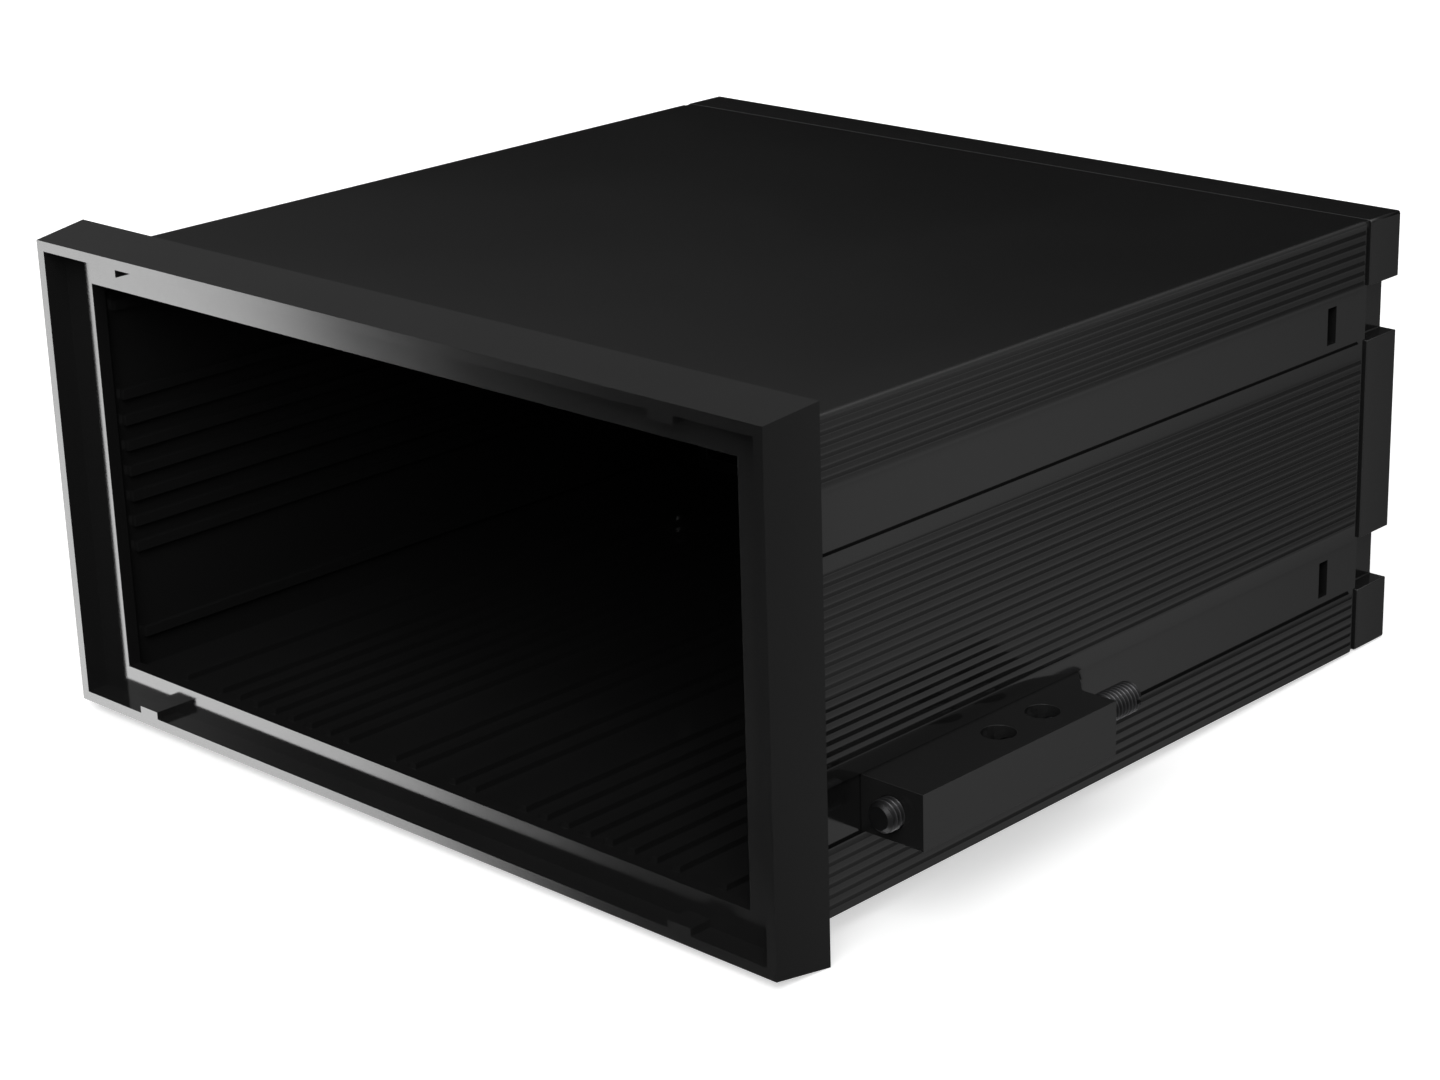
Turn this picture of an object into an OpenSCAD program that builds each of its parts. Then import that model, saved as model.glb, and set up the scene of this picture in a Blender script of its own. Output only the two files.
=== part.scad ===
// Panel mount enclosure: a tube body with a flared bezel, a snap-in rear cover and two sliding screw clamps.
// Millimetres, real size. The origin is the middle of the body on the panel plane, which is the back of the
// bezel. +Y runs into the panel towards the rear cover, +X is right and +Z is up, seen from the front.

/* [Bezel] */
// Width of the bezel at its front edge
bezel_w = 96; // [95:0.5:110]
// Height of the bezel at its front edge
bezel_h = 48; // [47:0.5:60]
// Depth of the bezel in front of the panel
bezel_depth = 6; // [5:0.25:9]
// Growth of the bezel on the left and on the right, from front to back
bezel_flare_x = 0.6; // [0:0.05:1.5]
// Growth of the bezel at the top and at the bottom, from front to back
bezel_flare_z = 0.75; // [0:0.05:1.5]
// Width of the rim round the front recess
rim_w = 1; // [0.8:0.1:1.2]
// Depth of the front recess that takes a front plate
recess_depth = 2.4; // [1.5:0.1:3]
// Thickness of the ledge behind the front recess
ledge_t = 1.4; // [1:0.1:1.8]
// How far the ledge stands into the tube all round
ledge_lip = 0.8; // [0.6:0.1:1.2]
// Length along X of each snap rib in the front recess
snap_rib_w = 2.7; // [1.5:0.1:5]
// Height of each snap rib in the front recess
snap_rib_h = 0.75; // [0.3:0.05:1]
// Distance of the snap ribs from the middle
snap_rib_x = 36.85; // [20:0.05:42]

/* [Body] */
// Width of the body over the fine ribs of its sides
body_w = 92; // [88:0.5:93]
// Height of the body
body_h = 44.6; // [43:0.2:45]
// Length of the body behind the panel, up to the rear cover
body_len = 82.5; // [60:0.1:140]
// Radius of the four long edges of the body
body_edge_r = 0.3; // [0.1:0.1:0.8]
// Thickness of the side walls, measured from the tops of the fine ribs
side_wall_t = 2.25; // [1.8:0.05:2.5]
// Thickness of the top and bottom walls
top_wall_t = 1.55; // [1:0.05:2]

/* [Side ribs] */
// Pitch of the fine ribs along the sides
rib_pitch = 1; // [0.9:0.05:1.6]
// Depth of the grooves between the fine ribs
rib_depth = 0.08; // [0.05:0.01:0.2]
// Width of each groove at the surface
rib_groove_w = 0.8; // [0.4:0.05:0.85]
// Width of each groove at its floor
rib_floor_w = 0.1; // [0.06:0.02:0.3]
// Plain strip between the last groove and a long edge of the body, at least
edge_strip = 0.3; // [0.3:0.05:1]
// Length of the plain step between the ends of the ribs and the rear cover
seam_w = 0.9; // [0.3:0.1:1.2]

/* [Clamp tracks] */
// Height of the middle of each clamp track above or below the middle of the body
track_z = 13; // [11.5:0.1:13.5]
// Width of the mouth of each clamp track
track_w = 5.5; // [5:0.1:6]
// Depth of each clamp track
track_depth = 0.3; // [0.25:0.05:0.6]
// Undercut of each clamp track on either side
track_undercut = 0.35; // [0.3:0.05:0.5]
// Plain strip between a clamp track and the ribs in the middle of the side, at least
track_strip_in = 1.1; // [0.4:0.1:1.5]
// Plain strip between a clamp track and the ribs beside the long edge, at least
track_strip_out = 0.3; // [0.3:0.1:1]

/* [Board guides] */
// Width of each guide rib in the tube
guide_w = 1; // [0.6:0.05:1.2]
// Height of each guide rib in the tube
guide_h = 0.6; // [0.4:0.05:0.8]
// Pitch of the guide ribs on the floor and on the ceiling
guide_pitch = 2.77; // [2.4:0.01:2.9]
// Number of guide ribs on each side of the middle, next to it
guide_inner_n = 2; // [1:1:3]
// Number of guide ribs in each outer group
guide_group_n = 8; // [4:1:8]
// Distance of the first rib of an outer group from the middle
guide_group_x = 12.3; // [11.5:0.1:13]
// Pitch of the guide ribs on the side walls
wall_guide_pitch = 2.65; // [2:0.05:2.75]
// Number of guide ribs above the middle of each side wall, and as many below
wall_guide_n = 3; // [1:1:3]
// Distance of the single guide rib from the floor or the ceiling, on each side wall
wall_guide_single = 3.65; // [2:0.05:3.8]
// Start of the guide ribs in front of the panel plane
guide_start = 1; // [0:0.1:1.1]

/* [Rear cover] */
// Depth of the rear cover behind the body
cover_depth = 5.1; // [3:0.1:12]
// Thickness of the back of the rear cover
cover_t = 2; // [1.2:0.1:2.5]
// Depth of the four notches in line with the clamp tracks
notch_depth = 1.8; // [1:0.05:2.2]
// Length of the lip of the rear cover inside the tube
spigot_len = 2.6; // [1.5:0.1:4]
// Thickness of the lip of the rear cover
spigot_t = 1.4; // [1:0.05:1.8]
// Clearance between the lip and the tube
spigot_gap = 0.15; // [0.05:0.01:0.2]
// Width of each snap arm
arm_w = 3.4; // [2.5:0.1:3.4]
// Thickness of each snap arm
arm_t = 1.2; // [0.8:0.05:1.4]
// Length of each latch window, along the body
window_len = 1.45; // [1.2:0.05:2.5]
// Height of each latch window
window_h = 3.7; // [3.6:0.05:4.6]
// Distance of the latch windows from the rear end of the body
window_back = 5.15; // [4:0.05:8]
// Clearance between a latch hook and its window
latch_gap = 0.15; // [0.05:0.01:0.25]
// Height of each latch hook
latch_h = 0.75; // [0.5:0.05:1]

/* [Clamps] */
// Distance of the front of each clamp behind the panel plane
clamp_y = 7.3; // [5:0.1:30]
// Length of the block of each clamp
clamp_len = 26.4; // [20:0.1:40]
// How far each clamp stands out from the tops of the fine ribs
clamp_out = 6.65; // [5:0.05:9]
// Length of the foot behind the block of each clamp
foot_len = 3.4; // [1.5:0.1:5]
// Angle between the sloped back of the foot and the body
foot_angle = 42; // [30:1:55]
// Radius of the inner corner between the foot and the block
foot_round = 0.9; // [0.3:0.1:1.2]
// Clearance between a clamp and the undercut of its track
clamp_gap = 0.08; // [0.05:0.01:0.12]
// Clearance between the block of a clamp and the mouth of its track, above and below
clamp_side_gap = 0.15; // [0.1:0.01:0.3]
// Diameter of the two cross holes of each clamp
cross_d = 3.2; // [2:0.1:3.6]
// Distance of the first cross hole from the front of the clamp
cross_y = 14.3; // [5:0.1:16]
// Distance between the two cross holes
cross_pitch = 6.1; // [4:0.1:7]

/* [Clamp screws] */
// Diameter of each clamp screw
screw_d = 3; // [2:0.1:3.2]
// Length of each clamp screw
screw_len = 35; // [28:0.5:45]
// Distance of the screw axis from the tops of the fine ribs
screw_x = 3.1; // [2.4:0.05:3.3]
// How far the screw tip stands in front of the clamp
screw_tip = 1.6; // [0:0.1:4]
// Chamfer at both ends of each screw
screw_chamfer = 0.45; // [0.1:0.05:0.6]
// Running clearance between a screw and its bore
screw_gap = 0.05; // [0.02:0.01:0.1]
// Width of the driver slot in the rear end of each screw
slot_w = 0.5; // [0.3:0.05:0.8]
// Depth of the driver slot in the rear end of each screw
slot_depth = 1.05; // [0.6:0.05:1.5]

/* [Hidden] */
$fn = 64;

// Small overlap that makes joined shapes one solid
bite = 0.2;
// Length by which a cutting shape runs past the face that it cuts
past = 1;

half_w = body_w / 2;
half_h = body_h / 2;
tube_w = body_w - 2 * side_wall_t;
tube_h = body_h - 2 * top_wall_t;
ledge_y = recess_depth - bezel_depth;
tube_y = ledge_y + ledge_t;
rear_y = body_len + cover_depth;
track_floor_x = half_w - track_depth;

// The guide ribs stop short of the lip of the rear cover
guide_room = 0.6;
guide_end = body_len - spigot_len - guide_room;

spigot_w = tube_w - 2 * spigot_gap;
spigot_h = tube_h - 2 * spigot_gap;
window_y = body_len - window_back - window_len;

clamp_h = track_w - 2 * clamp_side_gap;
clamp_rear_y = clamp_y + clamp_len;
clamp_foot_x = track_floor_x + clamp_gap;
clamp_out_x = half_w + clamp_out;
screw_axis_x = half_w + screw_x;
screw_y = clamp_y - screw_tip;

// One cut in the side outline: its middle, half its mouth, half its floor and its depth
function groove_cut(z) = [z, rib_groove_w / 2, rib_floor_w / 2, rib_depth];
function track_cut(z) = [z, track_w / 2, track_w / 2 + track_undercut, track_depth];

// Middles of the grooves between two heights, half a pitch off the middle of the body
function groove_middles(low, high) =
    [for (i = [floor(low / rib_pitch) : ceil(high / rib_pitch)])
        let (z = (i + 0.5) * rib_pitch)
        if (z - rib_groove_w / 2 > low && z + rib_groove_w / 2 < high) z];

// Heights between which the grooves lie: up to the inner strip, and from the outer strip to the long edge
groove_in = track_z - track_w / 2 - track_strip_in;
groove_out = track_z + track_w / 2 + track_strip_out;
groove_top = half_h - edge_strip;

// All cuts of one side from bottom to top
side_cuts = concat(
    [for (z = groove_middles(-groove_top, -groove_out)) groove_cut(z)],
    [track_cut(-track_z)],
    [for (z = groove_middles(-groove_in, groove_in)) groove_cut(z)],
    [track_cut(track_z)],
    [for (z = groove_middles(groove_out, groove_top)) groove_cut(z)]);

// The four outline points of one cut on the right-hand side
function cut_points(c) = [
    [half_w, c[0] - c[1]],
    [half_w - c[3], c[0] - c[2]],
    [half_w - c[3], c[0] + c[2]],
    [half_w, c[0] + c[1]]];

right_points = [for (c = side_cuts) each cut_points(c)];
left_points = [for (p = right_points) -p];

// Places of the guide ribs on the right-hand half of the floor
guide_x = concat(
    [for (i = [1 : guide_inner_n]) i * guide_pitch],
    [for (i = [0 : guide_group_n - 1]) guide_group_x + i * guide_pitch],
    [guide_group_x + (guide_group_n + 1) * guide_pitch]);

// Places of the guide ribs on the side walls
wall_guide_z = concat(
    [for (i = [-wall_guide_n : wall_guide_n]) i * wall_guide_pitch],
    [tube_h / 2 - wall_guide_single, wall_guide_single - tube_h / 2]);

// Extrudes a profile drawn across the body (X, Z) from one depth to another
module along_depth(from, to) {
    translate([0, to, 0])
        rotate([90, 0, 0])
            linear_extrude(height = to - from)
                children();
}

// Rectangle round the middle with rounded corners
module rounded_rect(w, h, r) {
    square([w - 2 * r, h], center = true);
    square([w, h - 2 * r], center = true);
    for (x = [r - w / 2, w / 2 - r], z = [r - h / 2, h / 2 - r])
        translate([x, z])
            circle(r = r);
}

// Cross-section of the body with its fine ribs and its clamp tracks
module body_outline() {
    intersection() {
        polygon(concat(
            [[half_w, -half_h]], right_points, [[half_w, half_h]],
            [[-half_w, half_h]], left_points, [[-half_w, -half_h]]));
        rounded_rect(body_w, body_h, body_edge_r);
    }
}

// Flared block of the bezel: one taper seen from above, cut by the other seen from the side
module bezel_block() {
    front_x = bezel_w / 2;
    front_z = bezel_h / 2;
    back_x = front_x + bezel_flare_x;
    back_z = front_z + bezel_flare_z;
    intersection() {
        translate([0, 0, -back_z - past])
            linear_extrude(height = 2 * (back_z + past))
                polygon([[-front_x, -bezel_depth], [front_x, -bezel_depth], [back_x, 0], [-back_x, 0]]);
        translate([-back_x - past, 0, 0])
            rotate([90, 0, 90])
                linear_extrude(height = 2 * (back_x + past))
                    polygon([[-bezel_depth, -front_z], [-bezel_depth, front_z], [0, back_z], [0, -back_z]]);
    }
}

// Front recess, less the four snap ribs that hold a front plate
module recess_outline() {
    recess_w = bezel_w - 2 * rim_w;
    recess_h = bezel_h - 2 * rim_w;
    difference() {
        square([recess_w, recess_h], center = true);
        for (x = [-snap_rib_x, snap_rib_x], side = [-1, 1])
            translate([x, side * recess_h / 2])
                square([snap_rib_w, 2 * snap_rib_h], center = true);
    }
}

// Guide ribs for circuit boards on all four inner walls, sunk a little into them
module guide_outline() {
    rib = guide_h + bite;
    for (x = guide_x, side_x = [-1, 1], side_z = [-1, 1])
        translate([side_x * x, side_z * (tube_h / 2 + bite - rib / 2)])
            square([guide_w, rib], center = true);
    for (z = wall_guide_z, side_x = [-1, 1])
        translate([side_x * (tube_w / 2 + bite - rib / 2), z])
            square([rib, guide_w], center = true);
}

// Latch windows through the floors of the four tracks
module latch_windows() {
    for (side_x = [-1, 1], side_z = [-1, 1])
        translate([side_x * half_w, window_y + window_len / 2, side_z * track_z])
            cube([2 * (side_wall_t + past), window_len, window_h], center = true);
}

// Bezel and tube in one moulding
module housing() {
    color([0.03, 0.03, 0.032]) {
        difference() {
            union() {
                bezel_block();
                along_depth(-bite, body_len - seam_w) body_outline();
                along_depth(body_len - seam_w - bite, body_len)
                    rounded_rect(body_w - 2 * track_depth, body_h, body_edge_r);
            }
            along_depth(-bezel_depth - past, ledge_y) recess_outline();
            along_depth(ledge_y - past, tube_y + past)
                square([tube_w - 2 * ledge_lip, tube_h - 2 * ledge_lip], center = true);
            along_depth(tube_y, body_len + past) square([tube_w, tube_h], center = true);
            latch_windows();
        }
        along_depth(-guide_start, guide_end) guide_outline();
    }
}

// Outline of the rear cover with a notch behind each clamp track
module cover_outline() {
    difference() {
        rounded_rect(body_w, body_h, body_edge_r);
        for (side_x = [-1, 1], side_z = [-1, 1])
            translate([side_x * half_w, side_z * track_z])
                square([2 * notch_depth, track_w], center = true);
    }
}

// Snap arm on the right-hand side: a flat spring with a ramped hook at its end, seen from above
module snap_arm() {
    out_x = spigot_w / 2;
    hook_x = min(out_x + latch_h, track_floor_x - latch_gap);
    hook_front = window_y + latch_gap;
    hook_rear = window_y + window_len - latch_gap;
    linear_extrude(height = arm_w, center = true)
        polygon([
            [out_x - arm_t, body_len + bite], [out_x - arm_t, hook_front],
            [out_x, hook_front], [hook_x, (hook_front + hook_rear) / 2],
            [hook_x, hook_rear], [out_x, hook_rear], [out_x, body_len + bite]]);
}

// Rear cover: a cap in line with the body, a lip inside the tube and four snap arms
module rear_cover() {
    color([0.035, 0.035, 0.037]) {
        difference() {
            union() {
                along_depth(body_len, rear_y) cover_outline();
                along_depth(body_len - spigot_len, body_len + bite)
                    square([spigot_w, spigot_h], center = true);
            }
            along_depth(body_len - spigot_len - past, rear_y - cover_t)
                square([spigot_w - 2 * spigot_t, spigot_h - 2 * spigot_t], center = true);
        }
        for (turn = [0, 180], side_z = [-1, 1])
            rotate([0, turn, 0])
                translate([0, 0, side_z * track_z])
                    snap_arm();
    }
}

// Clamp seen from above: a long block and a foot with a sloped back
module clamp_plan() {
    tip_y = clamp_rear_y + foot_len;
    heel_x = clamp_foot_x + foot_len * tan(foot_angle);
    touch = foot_round * tan((90 - foot_angle) / 2);
    difference() {
        polygon([
            [clamp_foot_x, clamp_y], [clamp_out_x, clamp_y],
            [clamp_out_x, clamp_rear_y], [heel_x + touch, clamp_rear_y],
            [heel_x - touch * sin(foot_angle), clamp_rear_y + touch * cos(foot_angle)],
            [clamp_foot_x, tip_y]]);
        translate([heel_x + touch, clamp_rear_y + foot_round])
            circle(r = foot_round);
    }
}

// Clamp seen along its track: a foot that fills the undercut track and the block outside it
module clamp_section() {
    slope = track_undercut / track_depth;
    wide = track_w / 2 + track_undercut - clamp_gap - clamp_gap * slope;
    knee_x = clamp_foot_x + (wide - clamp_h / 2) / slope;
    polygon([
        [clamp_foot_x, -wide], [knee_x, -clamp_h / 2], [clamp_out_x, -clamp_h / 2],
        [clamp_out_x, clamp_h / 2], [knee_x, clamp_h / 2], [clamp_foot_x, wide]]);
}

// Clamp on the right-hand side: both outlines met, then bored for the screw and cored crosswise
module clamp() {
    tip_y = clamp_rear_y + foot_len;
    translate([0, 0, -track_z])
        difference() {
            intersection() {
                linear_extrude(height = 2 * track_w, center = true) clamp_plan();
                along_depth(clamp_y - past, tip_y + past) clamp_section();
            }
            translate([screw_axis_x, clamp_y - past, 0])
                rotate([-90, 0, 0])
                    cylinder(d = screw_d + 2 * screw_gap, h = clamp_len + foot_len + 2 * past);
            for (i = [0, 1])
                translate([screw_axis_x, clamp_y + cross_y + i * cross_pitch, 0])
                    cylinder(d = cross_d, h = clamp_h + 2 * past, center = true);
        }
}

module clamp_right() {
    color([0.04, 0.04, 0.042])
        clamp();
}

module clamp_left() {
    color([0.04, 0.04, 0.042])
        rotate([0, 180, 0])
            clamp();
}

// Headless screw on the right-hand side: chamfered at both ends, with a driver slot at the rear
module screw() {
    slim_d = screw_d - 2 * screw_chamfer;
    translate([screw_axis_x, screw_y, -track_z])
        rotate([-90, 0, 0])
            difference() {
                union() {
                    cylinder(d1 = slim_d, d2 = screw_d, h = screw_chamfer);
                    translate([0, 0, screw_chamfer])
                        cylinder(d = screw_d, h = screw_len - 2 * screw_chamfer);
                    translate([0, 0, screw_len - screw_chamfer])
                        cylinder(d1 = screw_d, d2 = slim_d, h = screw_chamfer);
                }
                translate([0, 0, screw_len])
                    cube([screw_d + past, slot_w, 2 * slot_depth], center = true);
            }
}

module screw_right() {
    color([0.12, 0.12, 0.125])
        screw();
}

module screw_left() {
    color([0.12, 0.12, 0.125])
        rotate([0, 180, 0])
            screw();
}

housing();
rear_cover();
clamp_right();
clamp_left();
screw_right();
screw_left();
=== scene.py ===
# %% [markdown]
# # A panel mount enclosure in the studio
#
# The object is a black instrument case for a switchboard: a flared bezel, a ribbed tube, a rear cover and
# two screw clamps that pull the bezel against the panel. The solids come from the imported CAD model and
# are already in place, in metres. This lesson gives them rounded edges, threads, finishes, a floor,
# lights and a camera.

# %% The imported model
import math

import bpy
import numpy as np
from mathutils import Matrix, Vector


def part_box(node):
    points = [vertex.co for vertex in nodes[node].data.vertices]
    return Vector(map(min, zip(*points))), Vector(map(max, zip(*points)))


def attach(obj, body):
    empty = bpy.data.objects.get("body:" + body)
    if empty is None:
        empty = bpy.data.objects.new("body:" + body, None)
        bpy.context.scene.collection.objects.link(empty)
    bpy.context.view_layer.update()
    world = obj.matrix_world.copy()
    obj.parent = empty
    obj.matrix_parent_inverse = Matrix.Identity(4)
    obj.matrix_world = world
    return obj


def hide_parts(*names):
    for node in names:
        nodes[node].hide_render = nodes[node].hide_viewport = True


MM = 0.001
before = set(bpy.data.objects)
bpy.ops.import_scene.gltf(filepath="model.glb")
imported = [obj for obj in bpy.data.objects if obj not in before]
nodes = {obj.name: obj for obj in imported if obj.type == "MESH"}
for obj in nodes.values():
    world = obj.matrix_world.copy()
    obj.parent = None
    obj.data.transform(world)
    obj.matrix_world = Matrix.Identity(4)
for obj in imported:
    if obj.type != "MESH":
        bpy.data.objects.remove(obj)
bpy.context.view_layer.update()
scene = bpy.context.scene
scene.view_settings.view_transform = "Standard"
print("nodes:", sorted(nodes))

# %% [markdown]
# ## Where the camera stands
#
# The photograph was taken from the front right and from a little above, with a long lens held slightly
# off level. A camera can be aimed with a constraint, but then the small roll is lost. Here its three axes
# are worked out from azimuth, elevation and roll, and written into its matrix.

# %% Camera
EYE = np.array([0.21098, -0.17850, 0.09948])
AZIMUTH = math.radians(44.223)
ELEVATION = math.radians(19.635)
ROLL = math.radians(-1.803)
LENS = 80.5
SENSOR_WIDTH = 36.0
NEAREST = 0.01


def camera_axes(azimuth, elevation, roll):
    """Right, up and forward: forward from the two angles, the other two level, then turned by the roll."""
    flat = math.cos(elevation)
    forward = np.array([-math.sin(azimuth) * flat, math.cos(azimuth) * flat, -math.sin(elevation)])
    level = np.cross(forward, [0.0, 0.0, 1.0])
    level /= np.linalg.norm(level)
    upright = np.cross(level, forward)
    right = math.cos(roll) * level + math.sin(roll) * upright
    return right, np.cross(right, forward), forward


right_axis, up_axis, forward_axis = camera_axes(AZIMUTH, ELEVATION, ROLL)
camera = bpy.data.objects.new("camera", bpy.data.cameras.new("camera"))
camera.data.lens = LENS
camera.data.sensor_width = SENSOR_WIDTH
camera.data.sensor_fit = "HORIZONTAL"
camera.data.clip_start = NEAREST
turned = np.eye(4)
turned[:3] = np.stack([right_axis, up_axis, -forward_axis, EYE], axis=1)
camera.matrix_world = Matrix(turned.tolist())
scene.collection.objects.link(camera)
scene.camera = camera
print("camera looks along", np.round(forward_axis, 3))

# %% [markdown]
# ## Shader maths as Python sums
#
# A finish is a graph of nodes. It could be wired up node by node, but then a simple sum takes ten lines.
# One small class wraps a socket instead, so that `1 - mask` or `0.3 + 0.1 * grain` adds the Math nodes by
# itself. Every other node comes from its one method, which sets the node up and then feeds it.


# %% Socket wrapper
class Wire:
    """One output socket of a node tree, with the operators of plain arithmetic."""

    def __init__(self, tree, socket=None):
        self.tree = tree
        self.socket = socket

    def node(self, kind, settings=None, inputs=None, output=0):
        """Adds a node of that type: its settings first, then the values or links of its sockets."""
        made = self.tree.nodes.new(kind)
        for name, value in (settings or {}).items():
            setattr(made, name, value)
        for name, value in (inputs or {}).items():
            if isinstance(value, Wire):
                self.tree.links.new(value.socket, made.inputs[name])
            else:
                made.inputs[name].default_value = value
        return Wire(self.tree, made.outputs[output])

    def maths(self, operation, first, second):
        return self.node("ShaderNodeMath", {"operation": operation}, {0: first, 1: second})

    def __add__(self, other):
        return self.maths("ADD", self, other)

    def __radd__(self, other):
        return self.maths("ADD", other, self)

    def __sub__(self, other):
        return self.maths("SUBTRACT", self, other)

    def __rsub__(self, other):
        return self.maths("SUBTRACT", other, self)

    def __mul__(self, other):
        return self.maths("MULTIPLY", self, other)

    def __rmul__(self, other):
        return self.maths("MULTIPLY", other, self)

    def __truediv__(self, other):
        return self.maths("DIVIDE", self, other)

    def __rtruediv__(self, other):
        return self.maths("DIVIDE", other, self)

    def __abs__(self):
        return self.maths("ABSOLUTE", self, 0.0)


print("socket wrapper: + - * / and abs")

# %% [markdown]
# ## Small helpers for finishes
#
# Most finishes need the same few steps: an empty material, noise, a soft mask, a blend of two colours and
# the link to the output. They could be repeated in each finish, but as functions they get a name, and the
# finishes below then read like recipes.

# %% Finish helpers
# The colour sockets of a Mix node by number, because its number, vector and colour sockets share their names
MIX_FIRST = 6
MIX_SECOND = 7
MIX_RESULT = 2


def new_finish(name):
    """An empty material and a wire into its tree."""
    made = bpy.data.materials.new(name)
    made.use_nodes = True
    made.node_tree.nodes.clear()
    return made, Wire(made.node_tree)


def end_finish(wire, shader):
    """Leads a shader to the material's output."""
    end = wire.tree.nodes.new("ShaderNodeOutputMaterial")
    wire.tree.links.new(shader.socket, end.inputs["Surface"])


def grey(level):
    """A neutral colour of that level."""
    return level, level, level


def blend_colours(wire, mask, first, second):
    """A colour between two, each a wire or three numbers, by a mask from 0 to 1."""
    ends = [end if isinstance(end, Wire) else (*end, 1.0) for end in (first, second)]
    return wire.node(
        "ShaderNodeMix", {"data_type": "RGBA"},
        {"Factor": mask, MIX_FIRST: ends[0], MIX_SECOND: ends[1]}, output=MIX_RESULT)


def smooth_step(wire, value, start, stop):
    """A mask that goes smoothly from 0 at start to 1 at stop. Start may be the larger one."""
    return wire.node(
        "ShaderNodeMapRange", {"interpolation_type": "SMOOTHSTEP"},
        {"Value": value, "From Min": start, "From Max": stop})


def noise(wire, place, scale, detail=2.0, swirl=0.0):
    """Noise with that many cells to one unit of the place."""
    return wire.node(
        "ShaderNodeTexNoise", {}, {"Vector": place, "Scale": scale, "Detail": detail, "Distortion": swirl})


def split_axes(wire, vector):
    """The X, Y and Z of a vector, as three wires."""
    return [wire.node("ShaderNodeSeparateXYZ", {}, {"Vector": vector}, output=axis) for axis in "XYZ"]


print("finish helpers for colours, masks, noise and axes")

# %% [markdown]
# ## Painted highlight on the upper long edges
#
# Beside the two upper long edges of the tube the colour is paler, a painted highlight, and the gloss is
# a little dulled. Such a strip could be painted into an image. A mask worked out from Object coordinates
# follows the case itself, needs no unwrapping and stays sharp from close up. The rear cover has the
# outline of the tube, so its box tells where the edges are.

# %% Painted edge highlight
HIGHLIGHT_FROM_SIDE = (0.7 * MM, 0.2 * MM)
HIGHLIGHT_FROM_TOP = (0.9 * MM, 0.5 * MM)
HIGHLIGHT_BEHIND_PANEL = (0.0, 0.2 * MM)
tube_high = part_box("rear_cover")[1]


def painted_edge_highlight(wire, place):
    """A mask of the painted highlight strips beside the upper long edges: far out, times high up, times
    behind the panel.
    """
    across, depth, height = split_axes(wire, place)
    out = smooth_step(wire, abs(across), *[tube_high.x - inward for inward in HIGHLIGHT_FROM_SIDE])
    up = smooth_step(wire, height, *[tube_high.z - down for down in HIGHLIGHT_FROM_TOP])
    return out * up * smooth_step(wire, depth, *HIGHLIGHT_BEHIND_PANEL)


# The painted highlight strips lie this far out and up.
print("worn edges lie", round(tube_high.x / MM, 2), "mm out and", round(tube_high.z / MM, 2), "mm up")

# %% [markdown]
# ## Black moulded plastic
#
# The case is injection moulded in a polished mould, and it leaves the mould along its depth. So the gloss
# carries faint streaks that way, and it wanders a little where the melt flowed. One flat colour would
# look drawn, and an image would repeat. Noise at three scales does neither: the streaks and the flow go
# into the roughness, a very fine grain into a bump.

# %% Plastic finish
GRAIN_SCALE = 3400.0
GRAIN_STRENGTH = 0.1
GRAIN_HEIGHT = 0.004 * MM
FLOW_SCALE = 38.0
FLOW_SWIRL = 0.6
FLOW_SHADE = 0.15
FLOW_ROUGH = 0.06
STREAK_SCALE = (1500.0, 45.0, 1500.0)
STREAK_ROUGH = 0.02
STREAK_BUMP = 0.15
# Less gloss on the painted highlight strips beside the upper long edges.
HIGHLIGHT_STRIP_ROUGH = 0.14


def moulded_plastic(name, shade, gloss, mirror, highlight_shade=None):
    """Near-black plastic: shade is its grey, gloss its mean roughness, mirror its mirror strength.

    With a highlight shade, the strips beside the tube's upper long edges get that paler grey, a painted
    highlight, and less gloss.
    """
    made, wire = new_finish(name)
    place = wire.node("ShaderNodeTexCoord", output="Object")
    grain = noise(wire, place, GRAIN_SCALE)
    flow = noise(wire, place, FLOW_SCALE, swirl=FLOW_SWIRL)
    drawn = wire.node("ShaderNodeMapping", {}, {"Vector": place, "Scale": STREAK_SCALE})
    streak = noise(wire, drawn, 1.0)
    darkest = grey(shade * (1.0 - FLOW_SHADE))
    colour = blend_colours(wire, flow, darkest, grey(shade * (1.0 + FLOW_SHADE)))
    least = gloss - (FLOW_ROUGH + STREAK_ROUGH) / 2.0
    rough = least + FLOW_ROUGH * flow + STREAK_ROUGH * streak
    # Painted highlight: a paler grey and less gloss on the strips beside the upper long edges.
    if highlight_shade:
        highlight_strip = painted_edge_highlight(wire, place)
        rough = rough + HIGHLIGHT_STRIP_ROUGH * highlight_strip
        colour = blend_colours(wire, highlight_strip, colour, grey(highlight_shade))
    bump = wire.node("ShaderNodeBump", {}, {
        "Height": grain + STREAK_BUMP * streak, "Strength": GRAIN_STRENGTH, "Distance": GRAIN_HEIGHT})
    end_finish(wire, wire.node("ShaderNodeBsdfPrincipled", {}, {
        "Base Color": colour, "Roughness": rough, "Normal": bump, "Specular IOR Level": mirror}))
    print(name, "has grey", shade, "and roughness", gloss)
    return made


# %% [markdown]
# ## One plastic for each moulding
#
# The tube, the cover and the clamps come out of different moulds, and each mould has its own polish.
# Rounded edges are paler and less glossy: partly the wear of fingers, partly a painted highlight. One finish
# could serve for all, but small differences of gloss are what tells the pieces apart, so the same function
# makes four.

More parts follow.
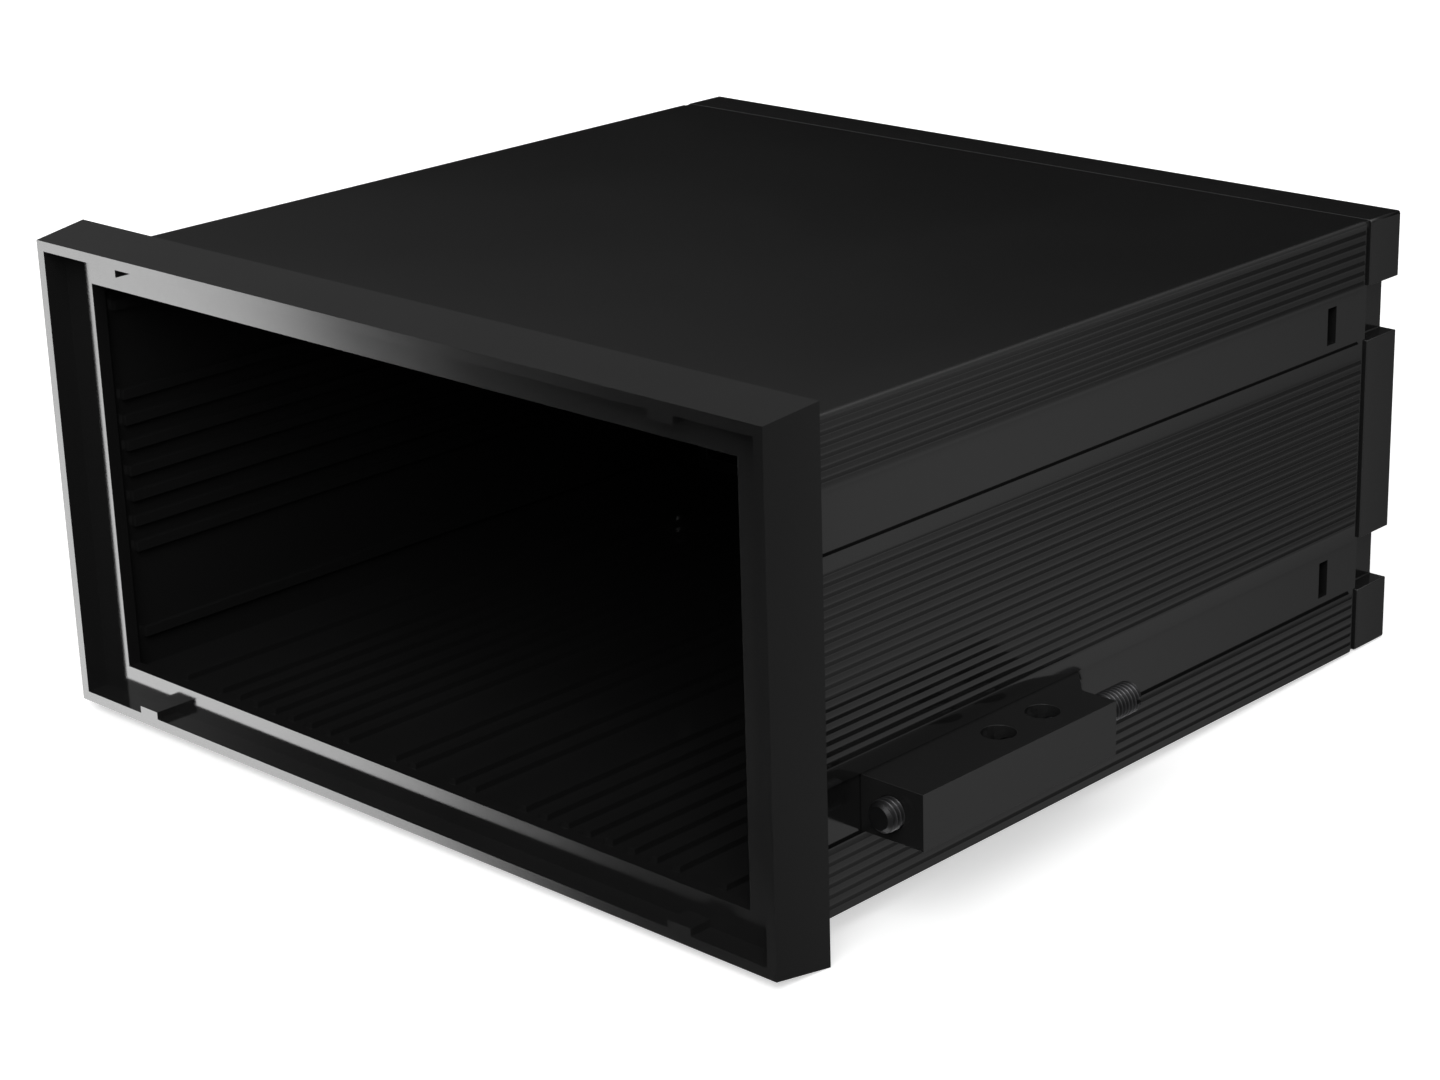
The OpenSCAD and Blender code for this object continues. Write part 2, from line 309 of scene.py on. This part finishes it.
# %% The four plastics
# The housing's upper long edges get a painted highlight of grey 0.03.
housing_finish = moulded_plastic(
    "housing_plastic_finish", shade=0.012, gloss=0.11, mirror=0.5, highlight_shade=0.03)
cover_finish = moulded_plastic("cover_plastic_finish", shade=0.012, gloss=0.13, mirror=0.42)
clamp_finish = moulded_plastic("clamp_plastic_finish", shade=0.014, gloss=0.2, mirror=0.5)
# The paler grey of the rounded edges is partly wear and partly a painted highlight.
rubbed_and_highlit_finish = moulded_plastic("rubbed_and_highlit_edge_finish", shade=0.021, gloss=0.34, mirror=0.5)

# %% [markdown]
# ## Rounded edges on the mouldings
#
# No moulded edge is perfectly sharp, and the thin highlight along it is what makes plastic look solid. It
# could be modelled in the solids, but they would fill with tiny faces, so modifiers do it here. The
# imported mesh is loose triangles: Weld joins them, Decimate makes one face of each flat side, and Bevel
# rounds what is still an edge. Bevel also gives its new faces the second finish, the paler one: edge wear
# and a painted highlight. The solids stay as they are.

# %% Edge modifiers
EDGE_WIDTH = 0.1 * MM
EDGE_STEPS = 2
EDGE_ANGLE = math.radians(55.0)
FLAT_ANGLE = math.radians(0.3)
WELD_REACH = 1e-6


def round_edges(node, finish):
    """Weld, flat-face dissolve and a small bevel on a CAD node, with normals that keep flat sides flat."""
    piece = nodes[node]
    piece.data.materials.clear()
    piece.data.materials.append(finish)
    piece.data.materials.append(rubbed_and_highlit_finish)
    weld = piece.modifiers.new("joined triangles", "WELD")
    weld.merge_threshold = WELD_REACH
    flat = piece.modifiers.new("whole faces", "DECIMATE")
    flat.decimate_type = "DISSOLVE"
    flat.angle_limit = FLAT_ANGLE
    bevel = piece.modifiers.new("rounded edges", "BEVEL")
    bevel.width = EDGE_WIDTH
    bevel.segments = EDGE_STEPS
    bevel.limit_method = "ANGLE"
    bevel.angle_limit = EDGE_ANGLE
    bevel.material = 1
    even = piece.modifiers.new("even shading", "WEIGHTED_NORMAL")
    even.keep_sharp = False
    print(node, "edges rounded by", round(EDGE_WIDTH / MM, 3), "mm")


round_edges("housing", housing_finish)
round_edges("rear_cover", cover_finish)
round_edges("clamp_right", clamp_finish)
round_edges("clamp_left", clamp_finish)

# %% [markdown]
# ## The thread of the clamp screws
#
# Each clamp is pushed against the panel by a headless M3 screw. A thread could be cut by a tool swept
# along a helix, which is slow and often leaves gaps. Here it is one surface of two parameters, the turn
# and the length, whose radius falls from crest to root with the distance from the helix.

# %% Thread surface
SCREW_R = 1.5 * MM
SCREW_LEN = 35.0 * MM
SCREW_CHAMFER = 0.45 * MM
PITCH = 0.5 * MM
THREAD_DEPTH = 0.28 * MM
FLANK_SLOPE = 1.35
CREST_FLAT = 0.12
TURN_STEPS = 40
ROWS_PER_PITCH = 9


def threaded_rod():
    """Vertices and faces of a threaded rod along +Y from 0 to its length.

    Radius = crest radius less the thread depth times a triangle wave of (length / pitch - turn), cut flat at
    crest and root, and never more than the chamfered outline. The end rows close on one point each.
    """
    rows = int(SCREW_LEN / PITCH) * ROWS_PER_PITCH + 1
    length = np.linspace(0.0, SCREW_LEN, rows)
    turn = np.arange(TURN_STEPS) / TURN_STEPS
    phase = (length[:, None] / PITCH - turn[None, :]) % 1.0
    wave = np.clip(np.abs(2.0 * phase - 1.0) * FLANK_SLOPE - CREST_FLAT, 0.0, 1.0)
    outline = SCREW_R - SCREW_CHAMFER + np.minimum(length, SCREW_LEN - length)
    radius = np.minimum(SCREW_R - THREAD_DEPTH * wave, outline[:, None])
    angle = 2.0 * math.pi * turn
    along = np.broadcast_to(length[:, None], radius.shape)
    around = np.stack([radius * np.cos(angle), along, -radius * np.sin(angle)], axis=-1)
    points = np.vstack([around.reshape(-1, 3), [[0.0, 0.0, 0.0], [0.0, SCREW_LEN, 0.0]]])
    row, step = np.meshgrid(np.arange(rows - 1), np.arange(TURN_STEPS), indexing="ij")
    beside = (step + 1) % TURN_STEPS
    quads = np.stack([
        row * TURN_STEPS + step, (row + 1) * TURN_STEPS + step,
        (row + 1) * TURN_STEPS + beside, row * TURN_STEPS + beside], axis=-1).reshape(-1, 4)
    ring = np.arange(TURN_STEPS)
    after = (ring + 1) % TURN_STEPS
    last = (rows - 1) * TURN_STEPS
    tip = np.stack([np.full(TURN_STEPS, rows * TURN_STEPS), ring, after], axis=-1)
    rear = np.stack([np.full(TURN_STEPS, rows * TURN_STEPS + 1), last + after, last + ring], axis=-1)
    return points, quads.tolist() + tip.tolist() + rear.tolist()


rod_points, rod_faces = threaded_rod()
print("thread:", len(rod_points), "points,", len(rod_faces), "faces")

# %% [markdown]
# ## Blackened steel
#
# The screws are steel with a black oxide, and the crests of the thread have lost some of it to the clamp.
# The two could be separate materials on separate faces. The distance from the screw's axis already tells
# crest from root, so one finish finds the crests by itself, and a fine mottle breaks them up.

# %% Screw finish
CREST_BAND = 0.1 * MM
MOTTLE_SCALE = 1800.0
MOTTLE_DETAIL = 3.0
MOTTLE_STRENGTH = 0.2
MOTTLE_HEIGHT = 0.01 * MM
RUB_LEAST = 0.3
RUB_MOTTLE = 0.6
OXIDE = (0.028, 0.028, 0.029)
BARE_STEEL = (0.12, 0.12, 0.124)
STEEL_METALLIC = 0.85
OXIDE_ROUGH = 0.46
RUB_GLOSS = 0.12


def blackened_steel(name, axis_x, axis_z):
    """Oxide-black steel. The thread's crests, told by their distance from the axis, are brighter."""
    made, wire = new_finish(name)
    place = wire.node("ShaderNodeTexCoord", output="Object")
    off = wire.node("ShaderNodeVectorMath", {"operation": "SUBTRACT"}, {0: place, 1: (axis_x, 0.0, axis_z)})
    flat = wire.node("ShaderNodeVectorMath", {"operation": "MULTIPLY"}, {0: off, 1: (1.0, 0.0, 1.0)})
    reach = wire.node("ShaderNodeVectorMath", {"operation": "LENGTH"}, {0: flat}, output="Value")
    crest = wire.node(
        "ShaderNodeMapRange", {}, {"Value": reach, "From Min": SCREW_R - CREST_BAND, "From Max": SCREW_R})
    mottle = noise(wire, place, MOTTLE_SCALE, MOTTLE_DETAIL)
    rubbed = crest * (RUB_LEAST + RUB_MOTTLE * mottle)
    bump = wire.node("ShaderNodeBump", {}, {
        "Height": mottle, "Strength": MOTTLE_STRENGTH, "Distance": MOTTLE_HEIGHT})
    end_finish(wire, wire.node("ShaderNodeBsdfPrincipled", {}, {
        "Base Color": blend_colours(wire, rubbed, OXIDE, BARE_STEEL), "Metallic": STEEL_METALLIC,
        "Roughness": OXIDE_ROUGH - RUB_GLOSS * rubbed, "Normal": bump}))
    print(name, "brightens over the last", round(CREST_BAND / MM, 2), "mm of the crests")
    return made


# %% [markdown]
# ## The screws in their clamps
#
# A driver turns each screw by a slot in its rear end. The slot could be worked into the formula of the
# surface, but a flat cut across a round end is what a Boolean does best: a box is taken away, the result
# becomes the mesh and the box goes. The screw then stands for the plain cylinder of the CAD model and
# rides on its body.

# %% Driver slot
SLOT_W = 0.5 * MM
SLOT_DEPTH = 1.05 * MM
SLOT_REACH = 2.0 * SCREW_R
BOX_FACES = [(0, 1, 3, 2), (4, 6, 7, 5), (0, 4, 5, 1), (2, 3, 7, 6), (0, 2, 6, 4), (1, 5, 7, 3)]


def box_mesh(name, low, high):
    """A closed box, faces outwards: its corners are the grid of the low and high value of each axis."""
    corners = np.stack(np.meshgrid(*np.stack([low, high], axis=1), indexing="ij"), axis=-1)
    made = bpy.data.meshes.new(name)
    made.from_pydata(corners.reshape(-1, 3).tolist(), [], BOX_FACES)
    return made


def cut_slot(piece, low, high):
    """The mesh of a piece with a box between two corners taken away."""
    cutter = bpy.data.objects.new("slot cutter", box_mesh("slot cutter", low, high))
    scene.collection.objects.link(cutter)
    cut = piece.modifiers.new("driver slot", "BOOLEAN")
    cut.operation = "DIFFERENCE"
    cut.solver = "EXACT"
    cut.object = cutter
    bpy.context.view_layer.update()
    done = bpy.data.meshes.new_from_object(piece.evaluated_get(bpy.context.evaluated_depsgraph_get()))
    piece.modifiers.clear()
    bpy.data.objects.remove(cutter)
    return done


print("driver slot:", round(SLOT_W / MM, 2), "mm wide and", round(SLOT_DEPTH / MM, 2), "mm deep")


# %% The two screws
def make_screw(side):
    """A threaded rod moved to its CAD node's place, with the driver slot cut into its rear end."""
    low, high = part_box("screw_" + side)
    middle = (low + high) / 2.0
    shift = np.array([middle.x, low.y, middle.z])
    solid = bpy.data.meshes.new("screw_" + side + "_thread")
    solid.from_pydata((rod_points + shift).tolist(), [], rod_faces)
    piece = bpy.data.objects.new("screw_" + side + "_thread", solid)
    scene.collection.objects.link(piece)
    slot_low = shift + [-SLOT_REACH, SCREW_LEN - SLOT_DEPTH, -SLOT_W / 2.0]
    slot_high = shift + [SLOT_REACH, SCREW_LEN + SLOT_DEPTH, SLOT_W / 2.0]
    piece.data = cut_slot(piece, slot_low, slot_high)
    piece.data.materials.clear()
    finish = blackened_steel("screw_steel_finish_" + side, float(shift[0]), float(shift[2]))
    piece.data.materials.append(finish)
    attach(piece, side + "_screw")
    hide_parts("screw_" + side)
    print(piece.name, "has", len(piece.data.polygons), "faces")


make_screw("right")
make_screw("left")

# %% [markdown]
# ## The floor
#
# The case lies on the lower lip of its bezel and on the lower edge of its rear cover, so it leans back a
# little. The case could be tilted, but its CAD frame stays level, so the floor leans instead. More light
# would make the floor white and would bleach the object too. So camera rays alone see the floor in its
# full colour with a glow on it, stronger far away: the background comes out white and the soft shadow
# stays.

# %% Floor plane
FLOOR_HALF = 3.0
lip_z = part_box("housing")[0].z
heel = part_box("rear_cover")
lean = (heel[0].z - lip_z) / heel[1].y


def leaning_floor():
    """A square plane: height = height of the bezel's lip plus the lean times the depth."""
    side = np.array([-FLOOR_HALF, FLOOR_HALF])
    x, y = np.meshgrid(side, side, indexing="ij")
    points = np.stack([x, y, lip_z + lean * y], axis=-1).reshape(-1, 3)
    made = bpy.data.meshes.new("floor")
    made.from_pydata(points.tolist(), [], [(0, 2, 3, 1)])
    return made


floor = bpy.data.objects.new("floor", leaning_floor())
floor.visible_glossy = False
scene.collection.objects.link(floor)
print("floor leans by", round(math.degrees(math.atan(lean)), 2), "degrees")

# %% Floor finish
FLOOR_COLOUR = 0.88
FLOOR_ROUGH = 0.9
FLOOR_MIRROR = 0.1
FLOOR_TONE = 0.3
FLOOR_LIFT = 0.55
FLOOR_NEAR = 0.25
FLOOR_FAR = 0.8
BLACK = grey(0.0)
WHITE = grey(1.0)

floor_finish, wire = new_finish("floor_finish")
seen = wire.node("ShaderNodeLightPath", output="Is Camera Ray")
tone = seen + (1.0 - seen) * FLOOR_TONE
place = wire.node("ShaderNodeTexCoord", output="Object")
reach = wire.node("ShaderNodeVectorMath", {"operation": "LENGTH"}, {0: place}, output="Value")
lift = seen * (FLOOR_LIFT + (1.0 - FLOOR_LIFT) * smooth_step(wire, reach, FLOOR_NEAR, FLOOR_FAR))
end_finish(wire, wire.node("ShaderNodeBsdfPrincipled", {}, {
    "Base Color": blend_colours(wire, tone, BLACK, grey(FLOOR_COLOUR)), "Roughness": FLOOR_ROUGH,
    "Specular IOR Level": FLOOR_MIRROR, "Emission Color": blend_colours(wire, lift, BLACK, WHITE),
    "Emission Strength": 1.0}))
floor_finish.cycles.emission_sampling = "NONE"
floor.data.materials.append(floor_finish)
print("floor colour", FLOOR_COLOUR, "with a glow of", FLOOR_LIFT, "near the case")

# %% [markdown]
# ## The lamps
#
# Product photographs use softboxes, large lamps whose shadows have no hard edge. A sun or a point would
# draw sharp ones, so these are area lamps. One on the camera's side lights the front, the right and the
# inside, one overhead fills in, and one behind lights the left and the rear. The gloss doesn't mirror the
# one behind, because its picture would show on the top.


# %% Lamps
def softbox(name, place, forward, along, size, radiance):
    """A rectangular lamp facing forward, its first side along a direction, its power from its brightness."""
    lamp = bpy.data.lights.new(name, "AREA")
    lamp.shape = "RECTANGLE"
    lamp.size, lamp.size_y = size
    lamp.energy = radiance * math.pi * size[0] * size[1]
    back = -Vector(forward).normalized()
    side = Vector(along)
    side = (side - side.dot(back) * back).normalized()
    turned = Matrix((side, back.cross(side), back)).transposed().to_4x4()
    made = bpy.data.objects.new(name, lamp)
    made.matrix_world = Matrix.Translation(place) @ turned
    made.visible_camera = False
    scene.collection.objects.link(made)
    print(name, "gives", round(lamp.energy, 3), "W")
    return made


softbox(
    "key softbox", place=(0.36, -0.48, 0.54), forward=(-0.34, 0.5, -0.54), along=(1.0, 0.7, 0.0),
    size=(0.6, 0.6), radiance=3.8)
softbox(
    "overhead softbox", place=(0.1, 0.1, 1.1), forward=(-0.09, -0.055, -1.0), along=(1.0, 0.0, 0.0),
    size=(1.6, 1.6), radiance=0.45)
rear_lamp = softbox(
    "rear softbox", place=(-0.75, 0.55, 0.25), forward=(0.75, -0.5, -0.25), along=(0.5, 0.75, 0.0),
    size=(0.7, 0.5), radiance=6.5)
rear_lamp.visible_glossy = False

# %% [markdown]
# ## What the gloss mirrors: the sky
#
# Black gloss shows its surroundings more than its own colour, so the room around the case matters as much
# as the lamps. It could be built from cards and walls, but near the case their place is hard to tune. In
# the World it is a function of direction alone: across to the right, depth to the rear and height. It
# starts with a dim sky that grows lighter upwards, which the top mirrors, and a lighter zenith for the
# highlights on edges.

# %% Sky
SKY = 0.12
SKY_RISE = (0.28, 0.58)
ZENITH = 0.7
ZENITH_RISE = (0.85, 1.2)

world = bpy.data.worlds.new("studio")
world.use_nodes = True
world.node_tree.nodes.clear()
world.cycles.sampling_method = "NONE"
wire = Wire(world.node_tree)
across, depth, height = split_axes(wire, wire.node("ShaderNodeTexCoord", output="Generated"))
steep = height / abs(depth)
sky = SKY * smooth_step(wire, steep, *SKY_RISE)
zenith = ZENITH * smooth_step(wire, steep, *ZENITH_RISE)
print("sky", SKY, "and zenith", ZENITH)

# %% [markdown]
# ## What the gloss mirrors: a strip of light
#
# The front of the bezel mirrors a tall strip of light at the front left, whose picture ends in a soft
# edge. The strip could be a lamp, but then it would also light the object. As part of the World it is
# told by how far a direction points sideways for its depth. Below the horizon its edge leans, and above
# it the strip is dimmer.

# %% Strip
STRIP = 6.4
STRIP_ABOVE = 0.4
STRIP_LEAN = 0.356
STRIP_EDGE_BELOW = (1.378, 1.488)
STRIP_EDGE_ABOVE = (1.33, 1.44)
STRIP_FAR_EDGE = (1.8, 1.6)
STRIP_HORIZON = (-0.1, 0.15)
STRIP_AHEAD = (0.0, -0.1)

sideways = across / depth
above = smooth_step(wire, height, *STRIP_HORIZON)
edge_below = smooth_step(wire, sideways + STRIP_LEAN * (height / depth), *STRIP_EDGE_BELOW)
edge_above = smooth_step(wire, sideways, *STRIP_EDGE_ABOVE)
ahead = smooth_step(wire, depth, *STRIP_AHEAD) * smooth_step(wire, sideways, *STRIP_FAR_EDGE)
strip = STRIP * ahead * ((1.0 - above) * edge_below + STRIP_ABOVE * above * edge_above)
print("strip", STRIP, "below the horizon and", round(STRIP * STRIP_ABOVE, 2), "above it")

# %% [markdown]
# ## What the gloss mirrors: a wall
#
# The ribbed side mirrors a dim wall at the rear right. Flat bands send the eye a little below the
# horizon, and the slopes of the ribs send it above and below that. One even tone would hide the ribs, so
# the wall has a belt at full strength, is weaker over and under it, and dims further to the rear.

# %% Wall
WALL = 0.44
WALL_RISE = (0.55, 1.05)
WALL_DIMS = (1.1, 1.75)
WALL_DIMMED = 0.7
WALL_BASE = 0.05
WALL_BASE_END = (2.6, 1.6)
WALL_SIDE = (-0.02, 0.1)
BELT_BOTTOM = (-0.5, -0.42)
BELT_TOP = (-0.1, -0.23)
OVER = 0.7
OVER_END = (1.4, 1.0)
UNDER = 0.5
UNDER_END = (2.3, 1.7)
UNDER_TO_OVER = (-0.45, -0.3)

rearward = depth / across
dimmed = WALL_DIMMED * smooth_step(wire, rearward, *WALL_DIMS)
bright = smooth_step(wire, rearward, *WALL_RISE) * (1.0 - dimmed)
belt = smooth_step(wire, height, *BELT_BOTTOM) * smooth_step(wire, height, *BELT_TOP)
over = OVER * smooth_step(wire, rearward, *OVER_END)
under = UNDER * smooth_step(wire, rearward, *UNDER_END)
beyond = under + (over - under) * smooth_step(wire, height, *UNDER_TO_OVER)
level = beyond + (1.0 - beyond) * belt
right = smooth_step(wire, across, *WALL_SIDE)
wall = right * (WALL_BASE * smooth_step(wire, rearward, *WALL_BASE_END) + WALL * bright * level)
print("wall", WALL, "with", OVER, "of that over its belt and", UNDER, "under it, at most")

# %% [markdown]
# ## What the gloss mirrors: the rest
#
# Plain dim walls at the rear left and at the front right keep the other sides from looking like holes.
# They end at the horizon. Camera rays see plain white instead of the room. Only mirrored rays see the
# zenith, the strip and the walls, so these put no extra light on the object, and the sky alone adds a
# little to the lamps.

# %% Plain walls and background
LEFT_WALL = 0.4
FRONT_WALL = 0.3
REAR_HALF = (-0.05, 0.1)
WALL_TOP = (0.05, -0.1)

behind = smooth_step(wire, depth, *REAR_HALF)
below = smooth_step(wire, height, *WALL_TOP)
plain = below * (LEFT_WALL * behind * (1.0 - right) + FRONT_WALL * right * (1.0 - behind))
seen = wire.node("ShaderNodeLightPath", output="Is Camera Ray")
mirrored = wire.node("ShaderNodeLightPath", output="Is Glossy Ray")
shine = seen + (1.0 - seen) * (sky + mirrored * (zenith + strip + wall + plain))
glow = wire.node("ShaderNodeBackground", {}, {"Color": (*WHITE, 1.0), "Strength": shine})
end = world.node_tree.nodes.new("ShaderNodeOutputWorld")
world.node_tree.links.new(glow.socket, end.inputs["Surface"])
scene.world = world
print("plain walls", LEFT_WALL, "at the left and", FRONT_WALL, "at the front; the background is white")
